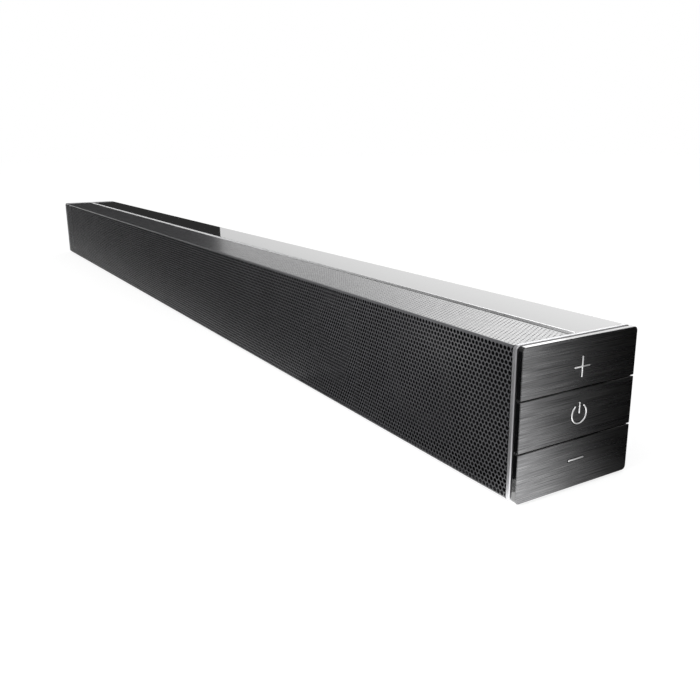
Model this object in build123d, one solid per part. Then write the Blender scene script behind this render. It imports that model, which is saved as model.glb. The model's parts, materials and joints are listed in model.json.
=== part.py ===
"""Two-channel soundbar: a square-section bar with a wrapped sheet grille and three keys on its right end.

X runs along the bar (keys at +X), Y runs from the grille (-Y) to the rear wall, Z is up.
The origin is on the table, under the middle of the bar.  All sizes are in millimetres.
"""
from build123d import *
import math
import os

os.makedirs("parts", exist_ok=True)

# ---- overall form ---------------------------------------------------------------------------
length = 812.0          # outer face of one end to the outer face of the other
depth = 60.0            # front of the grille to the rear wall
height = 60.0           # body, without its feet
foot_proud = 1.2        # feet below the body
end_proud = 0.2         # both ends stand this far outside the body, all round
end_corner = 1.8        # corner radius of the ends
seam = 0.15             # gap between parts that meet in line
slip = 0.2              # gap round a part that drops into a pocket or passes a hole
thread_gap = 0.05       # radial gap round a screw in its pilot hole
through = 1.0           # how far a cutting tool runs past what it cuts

# ---- ends: bezel, gap, key or cap block, brushed facing ----------------------------------------
bezel_thick = 2.1
bezel_ring = 5.0        # width of the bezel's ring, seen from the end
bezel_chamfer = 0.35
key_gap = 1.2           # between bezel and key block at rest
key_travel = 0.8
key_block = 1.8
key_slot = 0.5          # gap between neighbouring keys
key_slot_corner = 0.4
facing = 0.5            # brushed sheet bonded to the block
facing_chamfer = 0.2
end_plate = 2.5         # frame wall that closes the cabinet

# ---- guides and switches behind the keys -------------------------------------------------------
guide_side = 8.0        # guide posts, either side of the middle
guide_half = 1.5
hook = 0.7
hook_length = 1.5
hook_free = 0.1         # hook to the back of the end plate at rest
push_rib = 2.0          # radius of the rib under each key
push_reach = 0.9        # the rib ends this far behind the end plate's back
plunger_radius = 1.7
plunger_proud = 1.5
plunger_foot = 0.5      # part of the plunger that stays inside the switch
switch_half = 3.0
switch_height = 3.5
button_board_front = -10.4
button_board_rear = 14.0
button_stud_front = -7.0
button_stud_rear = 11.0
board_edge = 1.2        # board left outside a component

# ---- cabinet walls -------------------------------------------------------------------------
wall = 2.5
rib = 2.0
strip_rib = 1.0         # ribs that carry the strip of the grille
panel_thick = 2.2       # top panel
panel_round = 1.2       # its rear edge
base_round = 1.5        # rear lower edge of the cabinet
locate_width = 1.6      # rib under the top panel that locates it in the roof
locate_height = 1.3
chamber_gap = 47.0      # chamber wall to the axis of the driver beside it
lead_hole = 4.0         # radius of the hole for the speaker leads

# ---- sheet grille and top trim -----------------------------------------------------------------
sheet = 0.8
bend = 1.2              # outer bend radius
grille_top = 28.3       # strip that wraps over the top
grille_lip = 5.5        # return under the cabinet
lip_gap = 0.1
open_pitch = 5.0        # pitch of the hexagonal openings in front of each driver
open_web = 1.2          # metal left between two openings
open_rings = 4          # rings of openings round the middle one
groove = 2.3            # dark groove between strip and trim
trim_width = 2.7
trim_proud = 0.3
trim_chamfer = 0.4
trim_web = 1.2          # web that clips between the two roofs

# ---- baffle and drivers ------------------------------------------------------------------------
baffle_setback = 6.5    # grille front to baffle face
baffle_thick = 3.0
driver_end = 62.4       # axis of the outer driver to the end of the body
driver_pitch = 76.0     # between the two drivers of one channel
flange = 50.0           # square flange
flange_thick = 2.5
flange_recess = 1.5
flange_corner = 8.0
flange_screws = 20.5    # half the side of the screw square
basket_radius = 23.0
basket_depth = 14.0     # flange back to the plate that holds the magnet
basket_rim = 3.0        # straight part of the basket behind its flange
basket_wall = 1.5
window_half = 5.0       # half the width of a basket's window
window_margin = 0.6
magnet_radius = 18.0
magnet_thick = 7.0
magnet_lap = 2.0        # ring magnet beyond its plates, inside and outside
iron = 3.0              # top plate and yoke plate
pole_radius = 6.7
coil_radius = 7.0       # inside of the voice coil
coil_wall = 0.4
coil_gap = 0.4          # coil to top plate
coil_rise = 4.0         # front of the coil behind the flange
cone_radius = 18.0
cone_wall = 0.6
cone_rim = 1.2          # flat rim that carries the surround
cone_neck = 2.0         # thickness of the cone where it meets the coil
cone_drop = 1.0         # rear of the rim behind the front of the flange
cap_rise = 3.0          # dust cap
cap_lap = 0.5           # dust cap beyond the coil
roll_width = 3.2        # half roll of the surround
roll_rise = 1.5
roll_slope = 1.0
rubber_wall = 0.5
spider_rings = 3
spider_wave = 0.9
spider_cloth = 0.4
spider_gap = 3.0        # spider ahead of the magnet's plate

# ---- fasteners ----------------------------------------------------------------------------------
screw_radius = 1.5
screw_head = 2.8
screw_head_thick = 1.8
post_radius = 3.6
boss_height = 5.0
post_end = 22.4         # outermost post to the end of the body
post_beside = 34.0      # post between a driver and its chamber wall, to the driver's axis
post_centre = 76.0      # posts either side of the middle
end_screw_margin = 6.0  # axis of an end frame's screw to the nearest wall
small_screw = 1.2
small_head = 2.2
small_head_thick = 1.4
stud_radius = 3.2       # studs for the small screws

# ---- rear recess, boards and feet ----------------------------------------------------------------
recess_width = 130.0
recess_height = 22.0
recess_depth = 12.0
recess_rise = 18.0      # centre of the recess above the base
recess_wall = 2.0
ledge = 2.0             # ledge that carries the jack panel
ledge_end = 8.0
jack_sheet = 1.5
board = 1.6
standoff = 5.0
board_front = 4.0       # boards behind the baffle
board_rear = 3.0        # power board ahead of the rear wall
board_half = 72.0       # half the length of the main board
board_gap = 8.0         # main board to power board
power_length = 86.0
stud_inset = 5.0        # studs from a board's ends
stud_front = 8.0        # front studs behind the baffle
bracket_half = 250.0    # threaded inserts for a wall bracket, from the middle
insert_bore = 2.1
insert_radius = 3.4
insert_length = 8.0
foot_radius = 7.0
foot_pocket = 0.8
foot_end = 80.4         # feet to the end of the body
foot_front = 18.0       # foot centre behind the grille
foot_rear = 10.0        # foot centre ahead of the rear wall

# ---- what stands on the boards -------------------------------------------------------------------
chips = ((-22.0, 14.0, -15.0, 14.0, 1.2),       # x, width, y, depth, height of each package
         (-5.0, 9.0, -14.0, 9.0, 1.0),
         (54.0, 7.0, -6.0, 12.0, 6.0))
sink_start = 10.0
sink_width = 40.0
sink_depth = 18.0
sink_clear = 6.0        # heat sink behind the baffle
sink_base = 3.0
sink_height = 22.0
fin = 1.2
fins = 7
module_area = (-60.0, -38.0, -16.0, -4.0)
module_board = 1.0
can_edge = 1.5
can_aerial = 6.0        # carrier left bare for the aerial
can_height = 2.0
core_at = 30.0          # transformer on the power board
core_front = -11.0
core_width = 28.0
core_depth = 24.0
core_height = 18.0
core_rise = 3.0
core_leg = 4.5
bobbin = 4.0            # bobbin's ends beyond the core
bobbin_edge = 3.0
cans_at = ((16.0, 2.0, 8.0, 25.0),              # x, y, radius, height of each capacitor
           (76.0, -4.0, 6.3, 20.0),
           (76.0, 12.0, 6.3, 20.0))
can_chamfer = 0.6
receiver_half = 12.0
receiver_high = 10.0
receiver_thick = 1.2
lens_radius = 2.5
lamp_radius = 1.5
lens_proud = 2.5

# ---- connectors -------------------------------------------------------------------------------------
inlet_x = -42.0
hdmi_x = -14.0
optical_x = 10.0
aux_x = 32.0
inlet_size = (22.0, 13.0)
inlet_slot = (15.0, 8.4)        # figure-of-eight pocket
inlet_depth = 12.0
pin_radius = 1.2
pin_half = 3.3                  # half the distance between the pins
pin_set = 3.0                   # pins behind the face
inlet_back = 5.0
hdmi_size = (15.0, 6.0)
hdmi_bevel = 2.0
hdmi_depth = 9.0
hdmi_wall = 0.5
tongue_edge = 2.5
tongue_thick = 0.8
socket_back = 3.0               # solid behind a socket's hollow
optical_size = (10.0, 10.5)
optical_half = 3.2              # half the side of its square mouth
optical_depth = 7.0
pipe_radius = 1.0
aux_body = 7.0                  # square body
aux_nose = 3.0
aux_bore = 1.8
aux_depth = 12.0
aux_wall = 2.0
socket_proud = 0.4              # sockets ahead of the jack panel
jack_clear = 0.25

# ---- planes and places worked out from the sizes above ---------------------------------------------
front = -depth / 2
rear = depth / 2
base = foot_proud
top = base + height
mid_z = base + height / 2
body_half = length / 2 - facing - key_block - key_gap - bezel_thick
shell_half = body_half - seam
deck = top - panel_thick                    # carries the top panel, the trim and the grille's hem
roof_under = deck - wall
floor_low = base + sheet + lip_gap
floor_top = floor_low + wall
inner_rear = rear - wall
baffle_face = front + baffle_setback
baffle_back = baffle_face + baffle_thick
nose_front = front + bend + sheet
lip_end = front + grille_lip + seam
trim_front = front + grille_top + groove
trim_mid = trim_front + trim_width / 2
panel_front = trim_front + trim_width + seam
roof_gap = trim_web / 2 + seam
locate_y = (panel_front + inner_rear) / 2
axis_z = (floor_top + deck) / 2             # driver axis
post_low = floor_top + post_radius + slip
post_high = roof_under - post_radius - slip
bezel_face = body_half + bezel_thick
block_back = bezel_face + key_gap
block_front = block_back + key_block
plate_back = body_half - end_plate
end_depth = depth + 2 * end_proud
end_height = height + 2 * end_proud
key_pitch = (end_height + key_slot) / 3
key_levels = [mid_z + (k - 1) * key_pitch for k in range(3)]
push_end = plate_back - push_reach
switch_front = push_end - plunger_proud
switch_back = switch_front - switch_height
button_studs = [(y, mid_z + dz) for y in (button_stud_front, button_stud_rear)
                for dz in (-key_pitch / 2, key_pitch / 2)]
driver_outer = body_half - driver_end
driver_inner = driver_outer - driver_pitch
driver_stations = (-driver_outer, -driver_inner, driver_inner, driver_outer)
chamber_end = driver_inner - chamber_gap
flange_corners = [(dx, dz) for dx in (-flange_screws, flange_screws) for dz in (-flange_screws, flange_screws)]
flange_front = baffle_face - (flange_thick - flange_recess)
flange_back = baffle_face + flange_recess
seat_plate = flange_back + basket_depth     # front of the plate that holds the magnet
motor_front = seat_plate + basket_wall
back_radius = magnet_radius - magnet_lap
coil_bore = coil_radius + coil_wall + coil_gap
cone_edge = flange_front + cone_drop        # rear of the cone's rim
coil_top = flange_back + coil_rise
coil_end = motor_front + iron
spider_level = seat_plate - spider_gap
spider_outer = magnet_radius + basket_wall / 3
post_stations = ((body_half - post_end, post_low), ((driver_inner + driver_outer) / 2, post_high),
                 (driver_inner - post_beside, post_low), (post_centre, post_high))
end_screws_at = [(y, z) for y in (baffle_back + end_screw_margin, inner_rear - end_screw_margin)
                 for z in (roof_under - end_screw_margin, floor_top + end_screw_margin)]
recess_mid = base + recess_rise
recess_face = rear - recess_depth
socket_face = recess_face + jack_sheet + socket_proud
jack_screw_x = recess_width / 2 - ledge_end / 2
board_low = floor_top + standoff
board_top = board_low + board
power_start = board_half + board_gap
main_studs = [(side * (board_half - stud_inset), y) for side in (-1, 1)
              for y in (baffle_back + stud_front, stud_front)]
power_studs = [(power_start + x, y) for x in (stud_inset, power_length - stud_inset)
               for y in (baffle_back + stud_front, inner_rear - stud_front)]
foot_station = body_half - foot_end
foot_rows = (front + foot_front, rear - foot_rear)


# ---- small shape helpers ---------------------------------------------------------------------
def outline(*points):
    """Closed flat outline through the points."""
    return make_face(Polyline(*points, close=True))


def round_corners(face, corners, radius):
    """Round the outline's corners that lie at the given places."""
    picked = [face.vertices().sort_by_distance((u, v, 0))[0] for u, v in corners]
    return fillet(picked, radius)


def run_x(face, x0, x1):
    """Run a Y-Z outline along X."""
    return extrude(Plane.YZ.offset(x0) * face, amount=x1 - x0)


def block(x0, x1, y0, y1, z0, z1):
    """Plain block between two corners."""
    return Pos(x0, y0, z0) * Box(x1 - x0, y1 - y0, z1 - z0, align=(Align.MIN, Align.MIN, Align.MIN))


def rod_x(radius, x0, x1, y, z):
    return Pos((x0 + x1) / 2, y, z) * Rot(0, 90, 0) * Cylinder(radius, abs(x1 - x0))


def rod_y(radius, y0, y1, x, z):
    return Pos(x, (y0 + y1) / 2, z) * Rot(90, 0, 0) * Cylinder(radius, abs(y1 - y0))


def rod_z(radius, z0, z1, x, y):
    return Pos(x, y, (z0 + z1) / 2) * Cylinder(radius, abs(z1 - z0))


def turned(*points):
    """Turn a radius-depth outline round the Y axis."""
    return revolve(outline(*points), Axis.Y)


def on_side(solid, side):
    """The solid as made for the right, or its mirror image for the left."""
    return solid if side > 0 else mirror(solid, about=Plane.YZ)


def group(*pieces):
    """Separate solids that share one node."""
    return Compound([solid for piece in pieces for solid in piece.solids()])


def screw(radius, head, head_thick, grip):
    """Pan-head screw: head behind y = 0, shank towards -Y."""
    return turned((0, head_thick), (head * 0.6, head_thick), (head, head_thick * 0.4), (head, 0),
                  (radius, 0), (radius, -grip + radius), (0, -grip))


# ---- cabinet ------------------------------------------------------------------------------------
def rear_housing():
    """Floor, rear wall and rear roof in one moulding, with all that stands inside it."""
    profile = outline(
        (baffle_back + seam, base), (rear, base), (rear, deck), (trim_mid + roof_gap, deck),
        (trim_mid + roof_gap, roof_under), (inner_rear, roof_under), (inner_rear, floor_top),
        (baffle_back + seam, floor_top))
    profile = round_corners(profile, [(rear, base)], base_round)
    shell = run_x(profile, -shell_half, shell_half)
    for side in (-1, 1):
        shell += chamber_wall(side * chamber_end)
        shell += [screw_post(side * x, z) for x, z in post_stations]
        shell += [end_boss(side, y, z) for y, z in end_screws_at[1:]]
        shell += rod_y(insert_radius + rib, rear - insert_length - rib, rear - wall / 2,
                       side * bracket_half, mid_z)
    shell += recess_tray()
    shell += board_studs()
    for side in (-1, 1):
        for x, z in post_stations:
            shell -= rod_y(screw_head + slip, baffle_back + boss_height + wall, rear + through, side * x, z)
            shell -= rod_y(screw_radius + slip, baffle_back, rear, side * x, z)
        shell -= rod_y(insert_radius + thread_gap, rear - insert_length, rear + through,
                       side * bracket_half, mid_z)
        shell -= [rod_z(foot_radius + slip, base - through, base + foot_pocket, side * foot_station, y)
                  for y in foot_rows]
    shell -= recess_hollow()
    shell -= block(-shell_half, shell_half, locate_y - locate_width / 2 - seam, locate_y + locate_width / 2 + seam,
                   deck - locate_height - seam, deck + through)
    return shell


def chamber_wall(x):
    """Wall that closes a driver chamber, with a hole for the speaker leads."""
    face = outline((baffle_back + seam, floor_top), (inner_rear, floor_top), (inner_rear, roof_under),
                   (trim_mid + roof_gap, roof_under), (trim_mid + roof_gap, roof_under - slip),
                   (baffle_back + seam, roof_under - slip))
    return run_x(face, x - rib / 2, x + rib / 2) - rod_x(lead_hole, x - rib, x + rib, 0, axis_z)


def screw_post(x, z):
    """Post that a baffle screw passes through, tied to the floor or roof by a gusset."""
    post = rod_y(post_radius, baffle_back + boss_height, rear - wall / 2, x, z)
    if z < mid_z:
        return post + block(x - rib / 2, x + rib / 2, baffle_back + boss_height, inner_rear, floor_low, z)
    return post + block(x - rib / 2, x + rib / 2, trim_mid + roof_gap, inner_rear, z, deck)


def end_boss(side, y, z):
    """Boss behind the end frame for one of its screws, tied to the floor or roof by a gusset."""
    x0 = plate_back - 2 * boss_height
    boss = rod_x(post_radius, x0, plate_back, y, z)
    boss += block(x0, plate_back, y - rib / 2, y + rib / 2, *((z, deck) if z > mid_z else (floor_low, z)))
    boss -= rod_x(screw_radius + thread_gap, x0 + through, plate_back + through, y, z)
    return on_side(boss, side)


def recess_tray():
    """Walls round the rear recess, with the ledge that the jack panel sits against."""
    half = recess_width / 2 + recess_wall
    return block(-half, half, recess_face - ledge, inner_rear, recess_mid - recess_height / 2 - recess_wall,
                 recess_mid + recess_height / 2 + recess_wall)


def recess_hollow():
    """The recess itself, the window in its floor and the jack panel's two pilot holes."""
    half = recess_width / 2
    pocket = block(-half, half, recess_face, rear + through, recess_mid - recess_height / 2,
                   recess_mid + recess_height / 2)
    window = block(-half + ledge_end, half - ledge_end, recess_face - ledge - through, recess_face + through,
                   recess_mid - recess_height / 2 + ledge, recess_mid + recess_height / 2 - ledge)
    pilots = [rod_y(small_screw + thread_gap, recess_face - ledge - through, recess_face + through,
                    side * jack_screw_x, recess_mid) for side in (-1, 1)]
    return pocket + window + pilots


def board_studs():
    """Studs on the floor that carry the two boards, each with a pilot hole."""
    places = main_studs + power_studs
    studs = [rod_z(stud_radius, floor_top - rib / 2, board_low, x, y) for x, y in places]
    pilots = [rod_z(small_screw + thread_gap, floor_top, board_low + through, x, y) for x, y in places]
    return Part() + studs - pilots


def front_baffle():
    """Front wall with its foot and its roof in one moulding, and a seat for each driver."""
    profile = outline(
        (nose_front, floor_low), (lip_end, floor_low), (lip_end, base), (baffle_back, base),
        (baffle_back, roof_under), (trim_mid - roof_gap, roof_under), (trim_mid - roof_gap, deck),
        (baffle_face, deck), (baffle_face, floor_top), (nose_front, floor_top))
    body = run_x(profile, -shell_half, shell_half)
    body += [block(-shell_half, shell_half, y - strip_rib / 2, y + strip_rib / 2, deck - strip_rib / 2, top - sheet)
             for y in (front + grille_top / 3, front + grille_top * 2 / 3)]
    stud_end = baffle_back + boss_height / 2
    for x in driver_stations:
        body += [rod_y(stud_radius, baffle_face + rib, stud_end, x + dx, axis_z + dz) for dx, dz in flange_corners]
    for side in (-1, 1):
        body += [rod_y(post_radius, baffle_face + rib, baffle_back + boss_height, side * x, z)
                 for x, z in post_stations]
        body += end_boss(side, *end_screws_at[0])
    for x in driver_stations:
        body -= driver_seat(x)
        body -= [rod_y(small_screw + thread_gap, front, stud_end - through, x + dx, axis_z + dz)
                 for dx, dz in flange_corners]
    for side in (-1, 1):
        body -= [rod_y(screw_radius + thread_gap, baffle_face + through, rear, side * x, z)
                 for x, z in post_stations]
    return body


def driver_seat(x):
    """What one driver takes out of the baffle: the round opening and the shallow square pocket."""
    square = RectangleRounded(flange + 2 * slip, flange + 2 * slip, flange_corner + slip)
    pocket = extrude(Rot(-90, 0, 0) * square, amount=flange_recess + through)
    return rod_y(basket_radius + slip, front, rear, x, axis_z) + Pos(x, baffle_face - through, axis_z) * pocket


def front_grille():
    """One bent sheet: lip under the cabinet, front, strip over the top and a hem that stands on the deck."""
    hem_out = front + grille_top
    profile = outline(
        (front + grille_lip, base), (front, base), (front, top), (hem_out, top), (hem_out, deck),
        (hem_out - sheet, deck), (hem_out - sheet, top - sheet), (front + sheet, top - sheet),
        (front + sheet, base + sheet), (front + grille_lip, base + sheet))
    profile = round_corners(profile, [(front, base), (front, top), (hem_out, top)], bend)
    profile = round_corners(profile, [(hem_out - sheet, top - sheet), (front + sheet, top - sheet),
                                      (front + sheet, base + sheet)], bend - sheet)
    body = run_x(profile, -shell_half, shell_half)
    for x in driver_stations:
        body -= Pos(x, front - through, axis_z) * sound_openings()
    return body


def sound_openings():
    """Hexagonal cluster of openings, one tool for all of them."""
    radius = (open_pitch - open_web) / math.sqrt(3)
    cells = Sketch()
    for row in range(-open_rings, open_rings + 1):
        for place in range(2 * open_rings + 1 - abs(row)):
            across = (place - open_rings + abs(row) / 2) * open_pitch
            cells += Pos(across, row * open_pitch * math.sqrt(3) / 2) * RegularPolygon(radius, 6, rotation=90)
    return extrude(Rot(-90, 0, 0) * cells, amount=sheet + 2 * through)


def top_panel():
    profile = outline(
        (panel_front, deck), (locate_y - locate_width / 2, deck),
        (locate_y - locate_width / 2, deck - locate_height), (locate_y + locate_width / 2, deck - locate_height),
        (locate_y + locate_width / 2, deck), (rear, deck), (rear, top), (panel_front, top))
    profile = round_corners(profile, [(rear, top)], panel_round)
    return run_x(profile, -shell_half, shell_half)


def top_trim():
    """Bar between strip and panel; its web clips between the two roofs."""
    trim_rear = trim_front + trim_width
    crest = top + trim_proud
    profile = outline(
        (trim_front, deck), (trim_front, crest - trim_chamfer), (trim_front + trim_chamfer, crest),
        (trim_rear - trim_chamfer, crest), (trim_rear, crest - trim_chamfer), (trim_rear, deck),
        (trim_mid + trim_web / 2, deck), (trim_mid + trim_web / 2, roof_under),
        (trim_mid - trim_web / 2, roof_under), (trim_mid - trim_web / 2, deck))
    return run_x(profile, -shell_half, shell_half)


# ---- ends -------------------------------------------------------------------------------------
def end_face(inset=0.0):
    """Outline of an end, seen along X."""
    face = RectangleRounded(end_depth - 2 * inset, end_height - 2 * inset, max(end_corner - inset, seam))
    return Pos(0, mid_z) * face


def bezel(side):
    ring = run_x(end_face(), body_half, bezel_face)
    ring = chamfer(ring.faces().filter_by(Axis.X).edges(), bezel_chamfer)
    ring -= run_x(end_face(bezel_ring), body_half - through, bezel_face + through)
    return on_side(ring, side)


def end_frame(side):
    """Plate that closes the cabinet; its raised middle fills the bezel.  The right one guides the keys."""
    inner = outline((baffle_back + slip, floor_top + slip), (inner_rear - slip, floor_top + slip),
                    (inner_rear - slip, roof_under - slip), (baffle_back + slip, roof_under - slip))
    plate = run_x(inner, plate_back, body_half)
    plate += run_x(end_face(bezel_ring + slip), body_half - seam, bezel_face - slip)
    plate -= [rod_x(screw_radius + slip, plate_back - through, bezel_face, y, z) for y, z in end_screws_at]
    plate -= [rod_x(screw_head + slip, bezel_face - slip - screw_head_thick, bezel_face, y, z)
              for y, z in end_screws_at]
    reach = guide_half + slip
    for z in key_levels:
        plate -= [block(plate_back - through, bezel_face, y - reach, y + reach, z - reach, z + reach)
                  for y in (-guide_side, guide_side)]
    if side > 0:
        plate -= [rod_x(push_rib + slip, plate_back - through, bezel_face, 0, z) for z in key_levels]
        plate += [rod_x(stud_radius, switch_back, plate_back, y, z) for y, z in button_studs]
        plate -= [rod_x(small_screw + thread_gap, switch_back - through, plate_back, y, z)
                  for y, z in button_studs]
    return on_side(plate, side)


def key_face(index):
    """Outline of one key: a third of the end face, with small corners at the slots."""
    low = key_levels[index] - (key_pitch - key_slot) / 2
    high = low + key_pitch - key_slot
    face = end_face() & Pos(0, (low + high) / 2) * Rectangle(end_depth * 2, high - low)
    slot_edges = [z for z, shared in ((low, index > 0), (high, index < 2)) if shared]
    corners = [(side * end_depth / 2, z) for side in (-1, 1) for z in slot_edges]
    return round_corners(face, corners, key_slot_corner)


def hooked_posts(level):
    """Two guide posts under a block; each ends in a hook that catches behind the end plate."""
    tip = plate_back - hook_free - hook_length
    posts = Part()
    for side in (-1, 1):
        y = side * guide_side
        posts += block(tip, block_back + seam, y - guide_half, y + guide_half,
                       level - guide_half, level + guide_half)
        barb = outline((0, 0), (hook, 0), (0, hook_length))
        barb = extrude(Plane((plate_back - hook_free, y + side * guide_half, level), x_dir=(0, side, 0),
                             z_dir=(0, 0, side)) * barb, amount=guide_half, both=True)
        posts += barb
    return posts


def key(index):
    solid = run_x(key_face(index), block_back, block_front)
    solid += hooked_posts(key_levels[index])
    solid += rod_x(push_rib, push_end, block_back + seam, 0, key_levels[index])
    return solid


def facing_on(face):
    """Brushed sheet on the front of a block, with a cut edge."""
    solid = run_x(face, block_front, block_front + facing)
    return chamfer(solid.faces().sort_by(Axis.X)[-1].edges(), facing_chamfer)


def left_end_block():
    solid = run_x(end_face(), block_back, block_front)
    for level in key_levels:
        solid += hooked_posts(level)
    return on_side(solid, -1)


def plunger(index):
    """Plunger of a push switch; its foot slides in the switch body."""
    return rod_x(plunger_radius, switch_front - plunger_foot, push_end, 0, key_levels[index])


def switch_bodies():
    bodies = []
    for z in key_levels:
        body = block(switch_back, switch_front, -switch_half, switch_half, z - switch_half, z + switch_half)
        bodies.append(body - rod_x(plunger_radius + seam, switch_front - plunger_foot - key_travel - slip,
                                   switch_front + through, 0, z))
    return group(*bodies)


def button_board():
    reach = key_pitch + switch_half + board_edge
    solid = block(switch_back - board, switch_back, button_board_front, button_board_rear,
                  mid_z - reach, mid_z + reach)
    return solid - [rod_x(small_screw + slip, switch_back - board - through, switch_back + through, y, z)
                    for y, z in button_studs]


# ---- drivers ------------------------------------------------------------------------------------
def basket():
    """Pressed frame: square flange, tapered wall with four windows, ledge for the spider, magnet plate."""
    opening = basket_radius - basket_wall
    rim_back = flange_back + basket_rim
    seat = extrude(Rot(-90, 0, 0) * RectangleRounded(flange, flange, flange_corner), amount=flange_thick)
    frame = Pos(0, flange_front, 0) * seat
    frame -= rod_y(opening, flange_front - through, flange_back + through, 0, 0)
    frame += turned(
        (opening, flange_front), (basket_radius, flange_back), (basket_radius, rim_back),
        (spider_outer + basket_wall, spider_level), (spider_outer + basket_wall, motor_front),
        (coil_bore, motor_front), (coil_bore, seat_plate), (spider_outer - basket_wall, seat_plate),
        (spider_outer - basket_wall, spider_level), (spider_outer, spider_level), (opening, rim_back),
        (opening, flange_back))
    window = block(-window_half, window_half, rim_back + window_margin, spider_level - window_margin,
                   0, basket_radius * 2)
    frame -= [Rot(0, angle, 0) * window for angle in (0, 90, 180, 270)]
    frame -= [rod_y(small_screw + slip, flange_front - through, flange_back + through, dx, dz)
              for dx, dz in flange_corners]
    return frame


def motor():
    """Top plate, ring magnet and yoke with its pole, three solids face to face."""
    magnet_front = motor_front + iron
    yoke_front = magnet_front + magnet_thick
    magnet_bore = coil_bore + magnet_lap
    plate = turned((coil_bore, motor_front), (back_radius, motor_front), (back_radius, magnet_front),
                   (coil_bore, magnet_front))
    ring = turned((magnet_bore, magnet_front), (magnet_radius, magnet_front), (magnet_radius, yoke_front),
                  (magnet_bore, yoke_front))
    yoke = turned((0, motor_front), (pole_radius, motor_front), (pole_radius, yoke_front),
                  (back_radius, yoke_front), (back_radius, yoke_front + iron), (0, yoke_front + iron))
    return group(plate, ring, yoke)


def cone():
    """Paper cone with its flat rim and the voice coil's tube, one turned form, and the dust cap on it."""
    coil_outer = coil_radius + coil_wall
    neck_front = coil_top - cone_neck
    rim_front = cone_edge - cone_wall
    rim_inner = cone_radius - cone_rim
    body = turned(
        (coil_radius, neck_front), (coil_outer, neck_front - cone_wall), (rim_inner, rim_front),
        (cone_radius, rim_front), (cone_radius, cone_edge), (rim_inner, cone_edge), (coil_outer, coil_top),
        (coil_outer, coil_end), (coil_radius, coil_end))
    cap_radius = coil_outer + cap_lap
    ball = (cap_radius ** 2 + cap_rise ** 2) / (2 * cap_rise)
    slope = (rim_front - neck_front + cone_wall) / (rim_inner - coil_outer)
    cap_edge = neck_front - cone_wall + cap_lap * slope - seam
    cap = Pos(0, cap_edge - cap_rise + ball, 0) * (Sphere(ball) - Sphere(ball - cone_wall))
    cap &= rod_y(cap_radius, cap_edge - cap_rise - through, cap_edge, 0, 0)
    return group(body, cap)


def surround():
    """Half roll of rubber between the cone's rim and the flange."""
    crest = flange_front - roll_rise
    inner = cone_radius + seam
    outer = inner + roll_width
    face = [(cone_radius - cone_rim, cone_edge - cone_wall - rubber_wall), (inner, cone_edge - cone_wall - rubber_wall),
            (inner + roll_slope, crest), (outer - roll_slope, crest), (outer, flange_front - rubber_wall),
            (basket_radius, flange_front - rubber_wall)]
    back = [(r, y + rubber_wall) for r, y in reversed(face)]
    return turned(*face, *back)


def spider():
    """Corrugated disc that centres the coil."""
    inner = coil_radius + coil_wall
    steps = 2 * spider_rings + 2
    face = []
    for k in range(steps + 1):
        raised = spider_wave if k % 2 == 0 and 0 < k < steps else 0.0
        face.append((inner + k * (spider_outer - inner) / steps, spider_level - spider_cloth - raised))
    back = [(r, y + spider_cloth) for r, y in reversed(face)]
    return turned(*face, *back)


# ---- boards and connectors ----------------------------------------------------------------------
def main_board():
    plate = block(-board_half, board_half, baffle_back + board_front, recess_face - ledge - slip,
                  board_low, board_top)
    plate -= [rod_z(small_screw + slip, board_low - through, board_top + through, x, y) for x, y in main_studs]
    return group(plate, *[block(x, x + w, y, y + d, board_top, board_top + h) for x, w, y, d, h in chips])


def heat_sink():
    """Finned extrusion on the amplifier, standing on the main board."""
    sink_front = baffle_back + sink_clear
    pitch = (sink_width - fin) / (fins - 1)
    body = block(sink_start, sink_start + sink_width, sink_front, sink_front + sink_depth,
                 board_top, board_top + sink_base)
    body += [block(sink_start + k * pitch, sink_start + k * pitch + fin, sink_front, sink_front + sink_depth,
                   board_top + sink_base / 2, board_top + sink_height) for k in range(fins)]
    return body


def wireless_module():
    """Radio module: a small board with a can on it."""
    x0, x1, y0, y1 = module_area
    carrier = block(x0, x1, y0, y1, board_top, board_top + module_board)
    can = block(x0 + can_edge, x1 - can_aerial, y0 + can_edge, y1 - can_edge,
                board_top + module_board / 2, board_top + module_board + can_height)
    return carrier + can


def power_board():
    plate = block(power_start, power_start + power_length, baffle_back + board_front, inner_rear - board_rear,
                  board_low, board_top)
    return plate - [rod_z(small_screw + slip, board_low - through, board_top + through, x, y)
                    for x, y in power_studs]


def transformer():
    """Laminated core with a bobbin and its winding, on the power board."""
    x0 = power_start + core_at
    x1 = x0 + core_width
    y0 = core_front
    y1 = y0 + core_depth
    core = block(x0, x1, y0, y1, board_top + core_rise, board_top + core_rise + core_height)
    low = board_top + core_rise + core_leg
    high = board_top + core_rise + core_height - core_leg
    core -= block(x0 + core_leg, x1 - core_leg, y0 - through, y1 + through, low, high)
    winding = block(x0 + core_leg + seam, x1 - core_leg - seam, y0 - bobbin, y1 + bobbin, low + seam, high - seam)
    for edge in (y0 - bobbin, y1 + seam):
        winding += block(x0 + bobbin_edge, x1 - bobbin_edge, edge, edge + bobbin - seam,
                         board_top, board_top + core_rise + core_height - bobbin_edge)
    return group(core, winding)


def capacitors():
    cans = []
    for x, y, radius, tall in cans_at:
        can = rod_z(radius, board_top, board_top + tall, power_start + x, y)
        cans.append(chamfer(can.edges().sort_by(Axis.Z)[-1], can_chamfer))
    return group(*cans)


def receiver_board():
    """Remote receiver and status lamp, on the baffle behind the grille."""
    y = baffle_face - receiver_thick
    plate = block(-receiver_half, receiver_half, y, baffle_face, axis_z - receiver_high / 2,
                  axis_z + receiver_high / 2)
    lens = rod_y(lens_radius, y - lens_proud, baffle_face, -receiver_half / 2, axis_z)
    lamp = rod_y(lamp_radius, y - lens_proud, baffle_face, receiver_half / 2, axis_z)
    return plate + lens + lamp


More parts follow.
